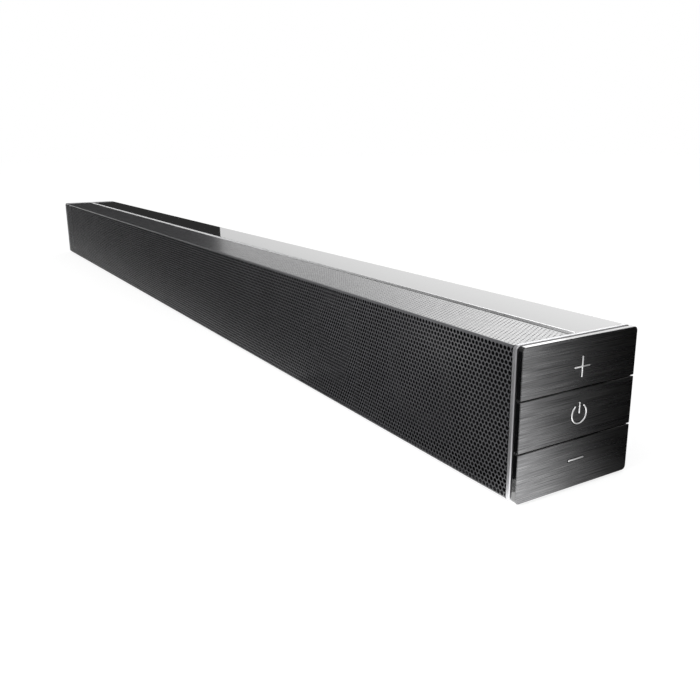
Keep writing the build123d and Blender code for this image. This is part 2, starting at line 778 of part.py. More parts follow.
def jack_panel():
    """Plate in the rear recess with an opening for each connector."""
    y0 = recess_face - through
    y1 = recess_face + jack_sheet + through
    plate = block(-recess_width / 2 + slip, recess_width / 2 - slip, recess_face, recess_face + jack_sheet,
                  recess_mid - recess_height / 2 + slip, recess_mid + recess_height / 2 - slip)
    for x, (w, h) in ((hdmi_x, hdmi_size), (optical_x, optical_size), (inlet_x, inlet_size)):
        plate -= block(x - w / 2 - jack_clear, x + w / 2 + jack_clear, y0, y1,
                       board_top - jack_clear, board_top + h + jack_clear)
    plate -= rod_y(aux_nose + jack_clear, y0, y1, aux_x, board_top + aux_body / 2)
    plate -= [rod_y(small_screw + slip, y0, y1, side * jack_screw_x, recess_mid) for side in (-1, 1)]
    return plate


def hdmi_port():
    """Folded shell with its bevelled lower corners and contact tongue."""
    w, h = hdmi_size
    shape = outline((-w / 2, h), (w / 2, h), (w / 2, hdmi_bevel), (w / 2 - hdmi_bevel, 0),
                    (-w / 2 + hdmi_bevel, 0), (-w / 2, hdmi_bevel))
    mouth = Plane.XZ.offset(-socket_face)
    shell = extrude(mouth * shape, amount=hdmi_depth + socket_back)
    shell -= extrude(mouth * offset(shape, -hdmi_wall), amount=hdmi_depth)
    shell += block(-w / 2 + tongue_edge, w / 2 - tongue_edge, socket_face - hdmi_depth - seam,
                   socket_face - hdmi_bevel, (h - tongue_thick) / 2, (h + tongue_thick) / 2)
    return Pos(hdmi_x, 0, board_top) * shell


def optical_port():
    """Square mouth with the light pipe at its back."""
    w, h = optical_size
    back = socket_face - optical_depth
    body = block(-w / 2, w / 2, back - 2 * socket_back, socket_face, 0, h)
    body -= block(-optical_half, optical_half, back, socket_face + through, h / 2 - optical_half, h / 2 + optical_half)
    body += rod_y(pipe_radius, back - seam, socket_face - hdmi_bevel, 0, h / 2)
    return Pos(optical_x, 0, board_top) * body


def aux_jack():
    body = block(-aux_body / 2, aux_body / 2, socket_face - aux_depth - aux_wall, recess_face - slip, 0, aux_body)
    body += rod_y(aux_nose, recess_face - through, socket_face, 0, aux_body / 2)
    body -= rod_y(aux_bore, socket_face - aux_depth, socket_face + through, 0, aux_body / 2)
    return Pos(aux_x, 0, board_top) * body


def power_inlet():
    """Two-pin inlet: a figure-of-eight pocket with its pins."""
    w, h = inlet_size
    back = socket_face - inlet_depth
    body = block(-w / 2, w / 2, back - inlet_back, socket_face, 0, h)
    pocket = Rot(-90, 0, 0) * SlotOverall(*inlet_slot)
    body -= Pos(0, back, h / 2) * extrude(pocket, amount=inlet_depth + through)
    body += [rod_y(pin_radius, back - seam, socket_face - pin_set, x, h / 2) for x in (-pin_half, pin_half)]
    return Pos(inlet_x, 0, board_top) * body


def wall_inserts():
    """Threaded brass inserts in the rear wall, drawn at their thread's inner radius."""
    bushes = []
    for x in (-bracket_half, bracket_half):
        bush = rod_y(insert_radius, rear - insert_length, rear, x, mid_z)
        bushes.append(bush - rod_y(insert_bore, rear - insert_length - through, rear + through, x, mid_z))
    return group(*bushes)


def rubber_feet():
    feet = []
    for x in (-foot_station, foot_station):
        for y in foot_rows:
            pad = rod_z(foot_radius, 0, base + foot_pocket, x, y)
            feet.append(chamfer(pad.edges().sort_by(Axis.Z)[0], foot_proud / 3))
    return group(*feet)


# ---- screws ---------------------------------------------------------------------------------------
def housing_screws():
    one = screw(screw_radius, screw_head, screw_head_thick, wall + baffle_thick + through)
    seat = baffle_back + boss_height + wall
    return group(*[Pos(side * x, seat, z) * one for side in (-1, 1) for x, z in post_stations])


def driver_screws():
    one = Rot(180, 0, 0) * screw(small_screw, small_head, small_head_thick, flange_thick + baffle_thick)
    return group(*[Pos(x + dx, flange_front, axis_z + dz) * one
                   for x in driver_stations for dx, dz in flange_corners])


def end_screws():
    one = screw(screw_radius, screw_head, screw_head_thick, end_plate + boss_height + through)
    seat = bezel_face - slip - screw_head_thick
    return group(*[Pos(side * seat, y, z) * Rot(0, 0, -90 * side) * one
                   for side in (-1, 1) for y, z in end_screws_at])


def board_screws():
    one = screw(small_screw, small_head, small_head_thick, board + standoff - through)
    short = screw(small_screw, small_head, small_head_thick, jack_sheet + ledge - slip)
    flat = [Pos(x, y, board_top) * Rot(90, 0, 0) * one for x, y in main_studs + power_studs]
    upright = [Pos(switch_back - board, y, z) * Rot(0, 0, 90) * one for y, z in button_studs]
    panel = [Pos(side * jack_screw_x, recess_face + jack_sheet, recess_mid) * short for side in (-1, 1)]
    return group(*flat, *upright, *panel)


# ---- nodes ------------------------------------------------------------------------------------
def nodes():
    yield "rear_housing", rear_housing()
    yield "front_baffle", front_baffle()
    yield "front_grille", front_grille()
    yield "top_panel", top_panel()
    yield "top_trim", top_trim()
    for name, side in (("right", 1), ("left", -1)):
        yield f"{name}_bezel", bezel(side)
        yield f"{name}_end_frame", end_frame(side)
    yield "left_end_block", left_end_block()
    yield "left_end_face", on_side(facing_on(end_face()), -1)
    for index, name in enumerate(("volume_down", "power", "volume_up")):
        yield f"{name}_key", key(index)
        yield f"{name}_face", facing_on(key_face(index))
        yield f"{name}_plunger", plunger(index)
    yield "switch_bodies", switch_bodies()
    yield "button_board", button_board()
    for number, x in enumerate(driver_stations, 1):
        place = Pos(x, 0, axis_z)
        for part, make in (("basket", basket), ("motor", motor), ("cone", cone),
                           ("surround", surround), ("spider", spider)):
            yield f"driver_{number}_{part}", place * make()
    for make in (main_board, heat_sink, wireless_module, power_board, transformer, capacitors, receiver_board,
                 jack_panel, power_inlet, hdmi_port, optical_port, aux_jack, wall_inserts, rubber_feet,
                 housing_screws, driver_screws, end_screws, board_screws):
        yield make.__name__, make()


for name, solid in nodes():
    export_step(solid, f"parts/{name}.step")
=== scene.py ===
"""Finishes the soundbar: materials for every part, the perforated grille, the key signs and a studio around them.

Lengths are in metres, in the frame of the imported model: X along the bar, the grille towards -Y, Z up.
"""
import json
import math

import bpy
from mathutils import Euler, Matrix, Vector


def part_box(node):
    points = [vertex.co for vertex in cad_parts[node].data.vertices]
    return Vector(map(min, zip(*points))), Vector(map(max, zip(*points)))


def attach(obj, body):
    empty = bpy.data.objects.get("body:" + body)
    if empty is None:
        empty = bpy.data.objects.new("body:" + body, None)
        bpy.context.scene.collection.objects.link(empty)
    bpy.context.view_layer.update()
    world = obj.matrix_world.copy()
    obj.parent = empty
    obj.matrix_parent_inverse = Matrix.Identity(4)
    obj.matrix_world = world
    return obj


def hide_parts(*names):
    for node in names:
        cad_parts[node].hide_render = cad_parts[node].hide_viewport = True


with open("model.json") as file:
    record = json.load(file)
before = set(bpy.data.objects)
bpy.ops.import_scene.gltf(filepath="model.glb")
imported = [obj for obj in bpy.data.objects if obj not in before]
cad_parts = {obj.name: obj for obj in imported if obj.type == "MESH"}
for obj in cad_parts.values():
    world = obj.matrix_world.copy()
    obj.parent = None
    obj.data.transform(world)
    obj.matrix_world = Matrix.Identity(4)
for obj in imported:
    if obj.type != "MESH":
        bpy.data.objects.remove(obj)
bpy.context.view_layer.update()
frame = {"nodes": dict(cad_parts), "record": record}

mm = 0.001

# ---- the perforated sheet ----------------------------------------------------------------------
hole_pitch = 2.04 * mm
row_height = hole_pitch * math.sin(math.radians(60))
front_rows = 33
top_rows = 15
front_hole = 0.87 * mm      # radius of the holes
top_hole = 0.4 * mm
front_sheet = 0.2 * mm      # the punch has thinned the sheet round its holes
top_sheet = 0.35 * mm
front_sheets = 5            # the front and the strip on top are modelled in this many lengths, each one mesh
top_sheets = 3
bend_corners = 24           # corners of a full turn of the sheet's bends
lip_reach = 5.5 * mm        # how far the sheet's lip reaches under the cabinet
hem_reach = 0.75 * mm       # the strip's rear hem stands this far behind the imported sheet's, close to the trim

# ---- trim and panel ----------------------------------------------------------------------------
trim_width = 1.4 * mm
trim_slope = 0.9 * mm       # front slope of the trim
trim_web = 0.55 * mm        # the web under the trim that is held between the roofs
trim_bevel = 0.12 * mm
panel_seam = 0.1 * mm       # between trim and panel
panel_round = 1.2 * mm      # rear edge of the panel
panel_rib = 1.3 * mm        # rib under the panel: its height below the deck
rib_width = 1.6 * mm
shell_wall = 2.5 * mm

# ---- signs and slots of the keys ---------------------------------------------------------------
sign_side = 0.3 * mm        # middle of a sign, to the rear of the middle of its key's face
plus_rise = -1.63 * mm      # and above it
power_rise = -0.13 * mm
minus_rise = 1.7 * mm
sign_arm = 8.4 * mm         # length of the strokes of plus and minus
sign_stroke = 0.7 * mm      # width of all strokes
sign_proud = 0.35 * mm
sign_set = 0.2 * mm         # depth that a sign is let into its key
sign_bevel = 0.3 * mm
shade_outline_rim = 0.28 * mm         # painted shade: width of the matt black outline that shows round a sign, for its shadow edge
shade_outline_proud = 0.04 * mm
ring_radius = 3.85 * mm     # middle of the power sign's ring
ring_gap = math.radians(62)
ring_corners = 48
bar_length = 4.7 * mm
bar_rise = 2.5 * mm         # middle of the bar above the middle of the ring

lip_depth = 1.6 * mm        # from the face to the middle of a lip
lip_thick = 1.0 * mm
lip_short = 0.35 * mm       # what a lip leaves free at each end of its slot
lip_clear = 0.06 * mm
lip_bevel = 0.06 * mm

# ---- studio ------------------------------------------------------------------------------------
camera_place = (0.58796, -0.21074, 0.13129)
camera_turn = (75.5849, 0.5111, 59.1306)    # degrees
camera_lens = 38.005
camera_film = 36
camera_shift = (0.0063, -0.0235)
camera_near = 0.01
floor_size = 12.0
floor_paper = "#a8a8a8"
floor_seen = "#8a8a8a"      # the paper's colour to the camera, which also sees it glow by floor_lift
floor_lift = 0.8
room_level = 0.8            # how strongly the white room lights matt surfaces
on_floor = 1 * mm           # height of the cards that lie on the floor
card_step = 6               # degrees of each flat of a card

near = 1e-5                 # places closer than this are one
wave_unit = 1 / 3.2         # Scale of a wave texture whose ridges lie one unit apart


# ==== helpers ===================================================================================
def linear(code):
    """An sRGB hex colour as the linear colour that a shader wants."""
    parts = [int(code[k:k + 2], 16) / 255 for k in (1, 3, 5)]
    return [c / 12.92 if c <= 0.04045 else ((c + 0.055) / 1.055) ** 2.4 for c in parts] + [1.0]


def add(tree, kind, inputs=None, stops=(), **settings):
    """Adds a shader node with its settings, its inputs and, on a ramp, its stops.

    An input is a value, or the socket or node that feeds it. A stop is a place, and a hex colour or a level of grey."""
    made = tree.nodes.new("ShaderNode" + kind)
    for name, value in settings.items():
        setattr(made, name, value)
    for socket, value in (inputs or {}).items():
        if isinstance(value, bpy.types.Node):
            value = value.outputs[0]
        if isinstance(value, bpy.types.NodeSocket):
            tree.links.new(value, made.inputs[socket])
        else:
            made.inputs[socket].default_value = value
    for k, (place, colour) in enumerate(stops):
        stop = made.color_ramp.elements[k] if k < 2 else made.color_ramp.elements.new(1.0)
        stop.position = place
        stop.color = linear(colour) if isinstance(colour, str) else (colour, colour, colour, 1)
    return made


def begin(name, colour, roughness, **sockets):
    """Starts a material: gives it, its tree, and Object coordinates in millimetres for its patterns."""
    material = bpy.data.materials.new(name)
    material.use_nodes = True
    tree = material.node_tree
    shader = tree.nodes["Principled BSDF"]
    shader.inputs["Base Color"].default_value = linear(colour)
    shader.inputs["Roughness"].default_value = roughness
    for socket, value in sockets.items():
        shader.inputs[socket.replace("_", " ")].default_value = value
    place = add(tree, "TexCoord").outputs["Object"]
    return material, tree, add(tree, "Mapping", {"Vector": place, "Scale": (1 / mm,) * 3})


def feed(tree, **sources):
    """Links a node to each of the shader's sockets that is named."""
    shader = tree.nodes["Principled BSDF"]
    for socket, source in sources.items():
        tree.links.new(source.outputs[0], shader.inputs[socket.replace("_", " ")])


# ==== materials =================================================================================
# Patterns are in millimetres: a Scale is one over the size of a lump, along X, Y and Z where they differ. A Map Range
# takes what lies between its inputs 1 and 2 to what lies between 3 and 4.
def housing_abs():
    """Textured ABS, moulded in a spark-eroded tool: a fine even grain that scatters every highlight."""
    plastic, tree, place = begin("spark_grained_abs", "#202022", 0.5, IOR=1.53)
    # drawn coarser than real, so that it shows
    grain = add(tree, "TexNoise", {"Vector": place, "Scale": 1 / 0.5, "Detail": 3.0})
    shade = add(tree, "TexNoise", {"Vector": place, "Scale": 1 / 60})
    feed(tree, Base_Color=add(tree, "ValToRGB", {"Fac": shade}, [(0.3, "#1c1c1e"), (0.7, "#252527")]),
         Roughness=add(tree, "MapRange", {"Value": grain, 1: 0.3, 2: 0.7, 3: 0.42, 4: 0.6}),
         Normal=add(tree, "Bump", {"Height": grain, "Distance": 0.05 * mm}))
    return plastic


def baffle_abs():
    """ABS moulding, dead matt black with hardly any sheen; its near-black colour is partly painted shade, so that
    nothing behind the holes catches the light.
    """
    inner, tree, place = begin("matt_abs_and_painted_shade", "#060607", 0.9, IOR=1.4, Specular_IOR_Level=0.08)
    spray = add(tree, "TexNoise", {"Vector": place, "Scale": 1 / 0.5, "Detail": 3.0})
    feed(tree, Base_Color=add(tree, "ValToRGB", {"Fac": spray}, [(0.3, "#050506"), (0.7, "#09090a")]),
         Normal=add(tree, "Bump", {"Height": spray, "Distance": 0.03 * mm}))
    return inner


def grille_steel():
    """Perforated steel under satin stoving enamel: the skin is smooth, with a faint orange peel."""
    enamel, tree, place = begin("stoved_enamel_on_steel", "#434345", 0.36, IOR=1.5, Specular_IOR_Level=0.3,
                                Coat_Weight=0.85, Coat_Roughness=0.2, Coat_IOR=1.6)
    peel = add(tree, "TexNoise", {"Vector": place, "Scale": 1 / 0.9})
    shade = add(tree, "TexNoise", {"Vector": place, "Scale": 1 / 35})
    gloss = add(tree, "TexNoise", {"Vector": place, "Scale": 1 / 3})
    feed(tree, Base_Color=add(tree, "ValToRGB", {"Fac": shade}, [(0.3, "#414143"), (0.7, "#464648")]),
         Roughness=add(tree, "MapRange", {"Value": gloss, 1: 0.3, 2: 0.7, 3: 0.32, 4: 0.42}),
         Normal=add(tree, "Bump", {"Height": peel, "Distance": 0.01 * mm}))
    return enamel


def gloss_panel():
    """Cast acrylic, back-painted black: deep piano gloss with faint hairlines in its clear skin."""
    acrylic, tree, place = begin("black_acrylic", "#050506", 0.03, IOR=1.7, Coat_Weight=1.0, Coat_Roughness=0.015,
                                 Coat_IOR=1.7)
    # drawn coarser than real, so that it shows
    along = add(tree, "Mapping", {"Vector": place, "Scale": (1 / 40, 1 / 0.4, 1)})
    hairlines = add(tree, "TexNoise", {"Vector": along, "Scale": 1.0})
    swell = add(tree, "TexNoise", {"Vector": place, "Scale": 1 / 25})
    feed(tree, Roughness=add(tree, "MapRange", {"Value": hairlines, 1: 0.3, 2: 0.7, 3: 0.02, 4: 0.05}),
         Coat_Normal=add(tree, "Bump", {"Height": swell, "Distance": 0.004 * mm}))
    return acrylic


def bright_trim():
    """Drawn aluminium, bright dipped: bright with fine draw lines along its length."""
    trim, tree, place = begin("bright_dipped_aluminium", "#f0f0f1", 0.22, Metallic=1.0)
    # drawn coarser than real, so that it shows
    along = add(tree, "Mapping", {"Vector": place, "Scale": (1 / 30, 1 / 0.15, 1 / 0.15)})
    lines = add(tree, "TexNoise", {"Vector": along, "Scale": 1.0})
    feed(tree, Roughness=add(tree, "MapRange", {"Value": lines, 1: 0.3, 2: 0.7, 3: 0.18, 4: 0.28}),
         Normal=add(tree, "Bump", {"Height": lines, "Distance": 0.006 * mm}))
    return trim


def bezel_chrome():
    """Satin chrome plate on moulded ABS: a soft even sheen, with the slight waviness of a plated moulding."""
    chrome, tree, place = begin("satin_chrome_plate", "#c6c6c8", 0.46, Metallic=1.0)
    waves = add(tree, "TexNoise", {"Vector": place, "Scale": 1 / 6})
    satin = add(tree, "TexNoise", {"Vector": place, "Scale": 1 / 2.5})
    feed(tree, Roughness=add(tree, "MapRange", {"Value": satin, 1: 0.3, 2: 0.7, 3: 0.42, 4: 0.5}),
         Normal=add(tree, "Bump", {"Height": waves, "Distance": 0.004 * mm}))
    return chrome


def key_plastic():
    """Polished ABS: the sides of the keys and of the end blocks, gloss black with a trace of sink marks."""
    plastic, tree, place = begin("polished_abs", "#070708", 0.06, IOR=1.7, Coat_Weight=1.0, Coat_Roughness=0.02,
                                 Coat_IOR=1.7)
    sinks = add(tree, "TexNoise", {"Vector": place, "Scale": 1 / 5})
    wear = add(tree, "TexNoise", {"Vector": place, "Scale": 1 / 4})
    feed(tree, Roughness=add(tree, "MapRange", {"Value": wear, 1: 0.3, 2: 0.7, 3: 0.04, 4: 0.1}),
         Normal=add(tree, "Bump", {"Height": sinks, "Distance": 0.003 * mm}))
    return plastic


def silver_lacquer():
    """Raised signs sprayed with silver lacquer: fine flakes give a glint from every side."""
    lacquer, tree, place = begin("silver_lacquer", "#ececed", 0.3, IOR=1.5, Metallic=0.7)
    # drawn coarser than real, so that it shows
    flakes = add(tree, "TexVoronoi", {"Vector": place, "Scale": 1 / 0.12})
    feed(tree, Base_Color=add(tree, "ValToRGB", {"Fac": flakes}, [(0.0, "#dededf"), (0.6, "#f6f6f6")]),
         Normal=add(tree, "Bump", {"Height": flakes, "Distance": 0.004 * mm}))
    return lacquer


def brushed_aluminium():
    """Aluminium sheet, brushed along the depth of the bar and anodised black: streaks and a drawn-out sheen."""
    sheet, tree, place = begin("brushed_anodised_aluminium", "#7a7a7b", 0.28, Metallic=1.0, Anisotropic=1.0,
                               Anisotropic_Rotation=0.25)
    # drawn coarser than real, so that it shows
    strokes = add(tree, "Mapping", {"Vector": place, "Scale": (1 / 24, 1 / 24, 1 / 0.2)})
    fine = add(tree, "TexNoise", {"Vector": strokes, "Scale": 1.0, "Detail": 4.0, "Roughness": 0.7})
    streaks = add(tree, "Mapping", {"Vector": place, "Scale": (1 / 60, 1 / 60, 1 / 1.6)})
    broad = add(tree, "TexNoise", {"Vector": streaks, "Scale": 1.0})
    feed(tree, Base_Color=add(tree, "ValToRGB", {"Fac": fine}, [(0.36, "#545455"), (0.64, "#9c9c9d")]),
         Roughness=add(tree, "MapRange", {"Value": broad, 1: 0.3, 2: 0.7, 3: 0.24, 4: 0.34}),
         Normal=add(tree, "Bump", {"Height": fine, "Distance": 0.006 * mm}))
    return sheet


def switch_plastic():
    """Glass-filled nylon: dull, with the fibres just breaking the skin."""
    nylon, tree, place = begin("glass_filled_nylon", "#2b2b2e", 0.55, IOR=1.53)
    # drawn coarser than real, so that it shows
    flow = add(tree, "Mapping", {"Vector": place, "Scale": (1 / 0.3, 1 / 1.5, 1 / 0.3)})
    fibres = add(tree, "TexNoise", {"Vector": flow, "Scale": 1.0, "Detail": 4.0})
    feed(tree, Base_Color=add(tree, "ValToRGB", {"Fac": fibres}, [(0.3, "#262628"), (0.7, "#343437")]),
         Normal=add(tree, "Bump", {"Height": fibres, "Distance": 0.01 * mm}))
    return nylon


def masked_board(name, colour, run, ground, **sockets):
    """Fibreglass board under solder mask: the copper runs show through as thin raised lines."""
    board, tree, place = begin(name, colour, **sockets)
    runs = add(tree, "TexVoronoi", {"Vector": place, "Scale": 1 / 4}, feature="DISTANCE_TO_EDGE")
    raised = add(tree, "MapRange", {"Value": runs, 1: 0.04, 2: 0.09, 3: 1.0, 4: 0.0})
    feed(tree, Base_Color=add(tree, "ValToRGB", {"Fac": runs}, [(0.04, run), (0.09, ground)]),
         Normal=add(tree, "Bump", {"Height": raised, "Distance": 0.035 * mm}))
    return board


def circuit_board():
    """Green solder mask: glossy, with paler runs."""
    return masked_board("solder_masked_fibreglass", "#0f3d26", "#1f5f38", "#0e3a24", roughness=0.3, IOR=1.5,
                        Coat_Weight=0.4, Coat_Roughness=0.15)


def painted_shade_board():
    """Painted shade: matt black solder mask for the board behind the grille, dark for the shade there; only a dull
    gleam.
    """
    return masked_board("painted_shade_fibreglass", "#070708", "#0c0c0d", "#060607", roughness=0.85, IOR=1.5,
                        Specular_IOR_Level=0.1)


def heat_sink_aluminium():
    """Extruded aluminium with a black anodised skin: matt, with die lines along the fins."""
    sink, tree, place = begin("anodised_extrusion", "#3a3b3d", 0.42, Metallic=1.0)
    along = add(tree, "Mapping", {"Vector": place, "Scale": (1 / 20, 1 / 0.3, 1 / 0.3)})
    lines = add(tree, "TexNoise", {"Vector": along, "Scale": 1.0})
    feed(tree, Roughness=add(tree, "MapRange", {"Value": lines, 1: 0.3, 2: 0.7, 3: 0.35, 4: 0.5}),
         Normal=add(tree, "Bump", {"Height": lines, "Distance": 0.01 * mm}))
    return sink


def transformer_steel():
    """Stack of varnished steel laminations, wound round with polyester tape: thin even layers."""
    core, tree, place = begin("varnished_laminations", "#3b3d42", 0.38, Metallic=0.8)
    layers = add(tree, "TexWave", {"Vector": place, "Scale": wave_unit / 0.5, "Distortion": 0.4},
                 bands_direction="Y").outputs["Fac"]
    feed(tree, Base_Color=add(tree, "ValToRGB", {"Fac": layers}, [(0.3, "#2c2d31"), (0.7, "#4b4e55")]),
         Normal=add(tree, "Bump", {"Height": layers, "Distance": 0.05 * mm}))
    return core


def capacitor_can():
    """Aluminium cans in shrunk vinyl sleeves: satin dark blue with slight shrink ripples."""
    sleeve, tree, place = begin("shrunk_vinyl_sleeve", "#1b2742", 0.32, IOR=1.54)
    upright = add(tree, "Mapping", {"Vector": place, "Scale": (1 / 2.5, 1 / 2.5, 1 / 9)})
    ripples = add(tree, "TexNoise", {"Vector": upright, "Scale": 1.0})
    feed(tree, Base_Color=add(tree, "ValToRGB", {"Fac": ripples}, [(0.3, "#18233c"), (0.7, "#22304f")]),
         Normal=add(tree, "Bump", {"Height": ripples, "Distance": 0.03 * mm}))
    return sleeve


def jack_plate():
    """Steel plate with fine-textured black powder coat: dry and slightly grainy."""
    powder, tree, place = begin("powder_coated_plate", "#18181a", 0.62, IOR=1.5)
    grain = add(tree, "TexNoise", {"Vector": place, "Scale": 1 / 0.45, "Detail": 3.0})
    feed(tree, Base_Color=add(tree, "ValToRGB", {"Fac": grain}, [(0.3, "#151517"), (0.7, "#202022")]),
         Normal=add(tree, "Bump", {"Height": grain, "Distance": 0.03 * mm}))
    return powder


def connector_plastic():
    """Glass-filled PBT of sockets and plugs: dull black with pale fibre flecks."""
    pbt, tree, place = begin("glass_filled_pbt", "#101011", 0.5, IOR=1.57)
    # drawn coarser than real, so that it shows
    flecks = add(tree, "TexNoise", {"Vector": place, "Scale": 1 / 0.35, "Detail": 4.0})
    feed(tree, Base_Color=add(tree, "ValToRGB", {"Fac": flecks}, [(0.4, "#0d0d0e"), (0.8, "#1c1c1e")]),
         Normal=add(tree, "Bump", {"Height": flecks, "Distance": 0.012 * mm}))
    return pbt


def connector_shell():
    """Nickel-plated steel: warm silver with rolling marks."""
    nickel, tree, place = begin("nickel_plate", "#b9b4a8", 0.22, Metallic=1.0)
    # drawn coarser than real, so that it shows
    rolled = add(tree, "Mapping", {"Vector": place, "Scale": (1 / 0.25, 1 / 6, 1 / 0.25)})
    marks = add(tree, "TexNoise", {"Vector": rolled, "Scale": 1.0})
    feed(tree, Roughness=add(tree, "MapRange", {"Value": marks, 1: 0.3, 2: 0.7, 3: 0.16, 4: 0.34}),
         Normal=add(tree, "Bump", {"Height": marks, "Distance": 0.006 * mm}))
    return nickel


def brass():
    """Turned brass inserts: yellow metal with tool rings."""
    insert, tree, place = begin("turned_brass", "#c9a24d", 0.24, Metallic=1.0)
    rings = add(tree, "TexWave", {"Vector": place, "Scale": wave_unit / 0.25}, bands_direction="Y").outputs["Fac"]
    tarnish = add(tree, "TexNoise", {"Vector": place, "Scale": 1 / 2})
    feed(tree, Base_Color=add(tree, "ValToRGB", {"Fac": tarnish}, [(0.3, "#b48c3c"), (0.7, "#d6b364")]),
         Normal=add(tree, "Bump", {"Height": rings, "Distance": 0.012 * mm}))
    return insert


def foot_rubber():
    """Moulded EPDM rubber: matt black, bloomed slightly grey."""
    rubber, tree, place = begin("moulded_rubber", "#1a1a1b", 0.78, IOR=1.52, Sheen_Weight=0.15, Sheen_Roughness=0.5)
    bloom = add(tree, "TexNoise", {"Vector": place, "Scale": 1 / 1.2, "Detail": 4.0})
    feed(tree, Base_Color=add(tree, "ValToRGB", {"Fac": bloom}, [(0.3, "#161617"), (0.7, "#242426")]),
         Normal=add(tree, "Bump", {"Height": bloom, "Distance": 0.03 * mm}))
    return rubber


def zinc_steel():
    """Steel screws, zinc plated and blackened: dark metal with a faint bluish cast."""
    zinc, tree, place = begin("black_zinc_plate", "#3f4246", 0.34, Metallic=1.0)
    patches = add(tree, "TexNoise", {"Vector": place, "Scale": 1 / 0.8, "Detail": 3.0})
    feed(tree, Base_Color=add(tree, "ValToRGB", {"Fac": patches}, [(0.3, "#34373b"), (0.7, "#4d5156")]),
         Roughness=add(tree, "MapRange", {"Value": patches, 1: 0.3, 2: 0.7, 3: 0.28, 4: 0.42}),
         Normal=add(tree, "Bump", {"Height": patches, "Distance": 0.008 * mm}))
    return zinc


def basket_steel():
    """Pressed steel with matt electrocoat paint: a dead black that stays hidden behind the sheet; on the driver screws
    the same dead black is painted shade.
    """
    coat, tree, place = begin("electrocoated_steel", "#08080a", 0.7, IOR=1.5, Specular_IOR_Level=0.12)
    peel = add(tree, "TexNoise", {"Vector": place, "Scale": 1.0})
    feed(tree, Roughness=add(tree, "MapRange", {"Value": peel, 1: 0.3, 2: 0.7, 3: 0.62, 4: 0.8}),
         Normal=add(tree, "Bump", {"Height": peel, "Distance": 0.015 * mm}))
    return coat


def motor_iron():
    """Phosphated iron plates round a ferrite ring: charcoal grey, slightly crystalline."""
    iron, tree, place = begin("phosphated_iron", "#3b3b3d", 0.55, Metallic=0.7)
    # drawn coarser than real, so that it shows
    crystals = add(tree, "TexVoronoi", {"Vector": place, "Scale": 1 / 0.4})
    feed(tree, Base_Color=add(tree, "ValToRGB", {"Fac": crystals}, [(0.0, "#2f2f31"), (0.6, "#4b4b4e")]),
         Normal=add(tree, "Bump", {"Height": crystals, "Distance": 0.012 * mm}))
    return iron


def cone_paper():
    """Pulp cone, black, with its colour darkened further as painted shade behind the grille: felted fibres, dry and
    soft.
    """
    pulp, tree, place = begin("black_pulp_and_painted_shade", "#0a0a0b", 0.95, IOR=1.4, Specular_IOR_Level=0.12)
    # drawn coarser than real, so that it shows
    fibres = add(tree, "TexNoise", {"Vector": place, "Scale": 1 / 0.5, "Detail": 6.0, "Roughness": 0.75})
    feed(tree, Base_Color=add(tree, "ValToRGB", {"Fac": fibres}, [(0.3, "#08080a"), (0.7, "#101011")]),
         Normal=add(tree, "Bump", {"Height": fibres, "Distance": 0.06 * mm}))
    return pulp


def surround_rubber():
    """Butyl rubber half roll: matt black, with mould bloom."""
    roll, tree, place = begin("butyl_rubber", "#0a0a0b", 0.7, IOR=1.5, Specular_IOR_Level=0.25)
    bloom = add(tree, "TexNoise", {"Vector": place, "Scale": 1 / 0.9, "Detail": 3.0})
    feed(tree, Roughness=add(tree, "MapRange", {"Value": bloom, 1: 0.3, 2: 0.7, 3: 0.62, 4: 0.8}),
         Normal=add(tree, "Bump", {"Height": bloom, "Distance": 0.012 * mm}))
    return roll


def spider_cloth():
    """Cotton cloth set in phenolic resin: amber weave."""
    cloth, tree, place = begin("resin_set_cotton", "#9a6f35", 0.6, IOR=1.5, Sheen_Weight=0.1)
    warp, weft = (add(tree, "TexWave", {"Vector": place, "Scale": wave_unit / 0.6},
                      bands_direction=axis).outputs["Fac"] for axis in "XZ")
    weave = add(tree, "Math", {0: warp, 1: weft}, operation="MULTIPLY")
    feed(tree, Base_Color=add(tree, "ValToRGB", {"Fac": weave}, [(0.1, "#7a5525"), (0.6, "#b58847")]),
         Normal=add(tree, "Bump", {"Height": weave, "Distance": 0.08 * mm}))
    return cloth


finishes = {make.__name__: make() for make in (
    housing_abs, baffle_abs, grille_steel, gloss_panel, bright_trim, bezel_chrome, key_plastic, silver_lacquer,
    brushed_aluminium, switch_plastic, circuit_board, painted_shade_board, heat_sink_aluminium, transformer_steel,
    capacitor_can, jack_plate, connector_plastic, connector_shell, brass, foot_rubber, zinc_steel, basket_steel,
    motor_iron, cone_paper, surround_rubber, spider_cloth)}

# Painted shade: what lies close behind the sheet's holes is given a dark finish, whatever its slot, for the shade
# behind the grille.
painted_shade_finish = {"receiver_board": "painted_shade_board", "driver_screws": "basket_steel"}
slot_of = {part["node"]: part["material_slot"] for part in frame["record"]["subparts"]}
for name, node in frame["nodes"].items():
    node.data.materials.clear()
    node.data.materials.append(finishes[painted_shade_finish.get(name, slot_of[name])])


# ==== modelling helpers =========================================================================
def start(name):
    """Names the primitive just added and puts its place and turn into its mesh."""
    piece = bpy.context.object
    piece.name = name
    bpy.ops.object.transform_apply(location=True, rotation=True, scale=True)
    return piece


def pick(piece, kind, wanted):
    """Goes to edit mode with only the vertices, edges or faces that wanted(middle) accepts."""
    bpy.ops.object.mode_set(mode="EDIT")
    bpy.ops.mesh.select_mode(type=kind)
    bpy.ops.mesh.select_all(action="DESELECT")
    bpy.ops.object.mode_set(mode="OBJECT")
    mesh = piece.data
    if kind == "VERT":
        for corner in mesh.vertices:
            corner.select = wanted(corner.co)
    elif kind == "EDGE":
        for edge in mesh.edges:
            one, other = (mesh.vertices[k].co for k in edge.vertices)
            edge.select = wanted((one + other) / 2)
    else:
        for face in mesh.polygons:
            face.select = wanted(face.center)
    bpy.ops.object.mode_set(mode="EDIT")


def smooth(degrees):
    """Shades smooth, with a crease at every edge that turns by more than this."""
    bpy.ops.object.shade_smooth_by_angle(angle=math.radians(degrees))


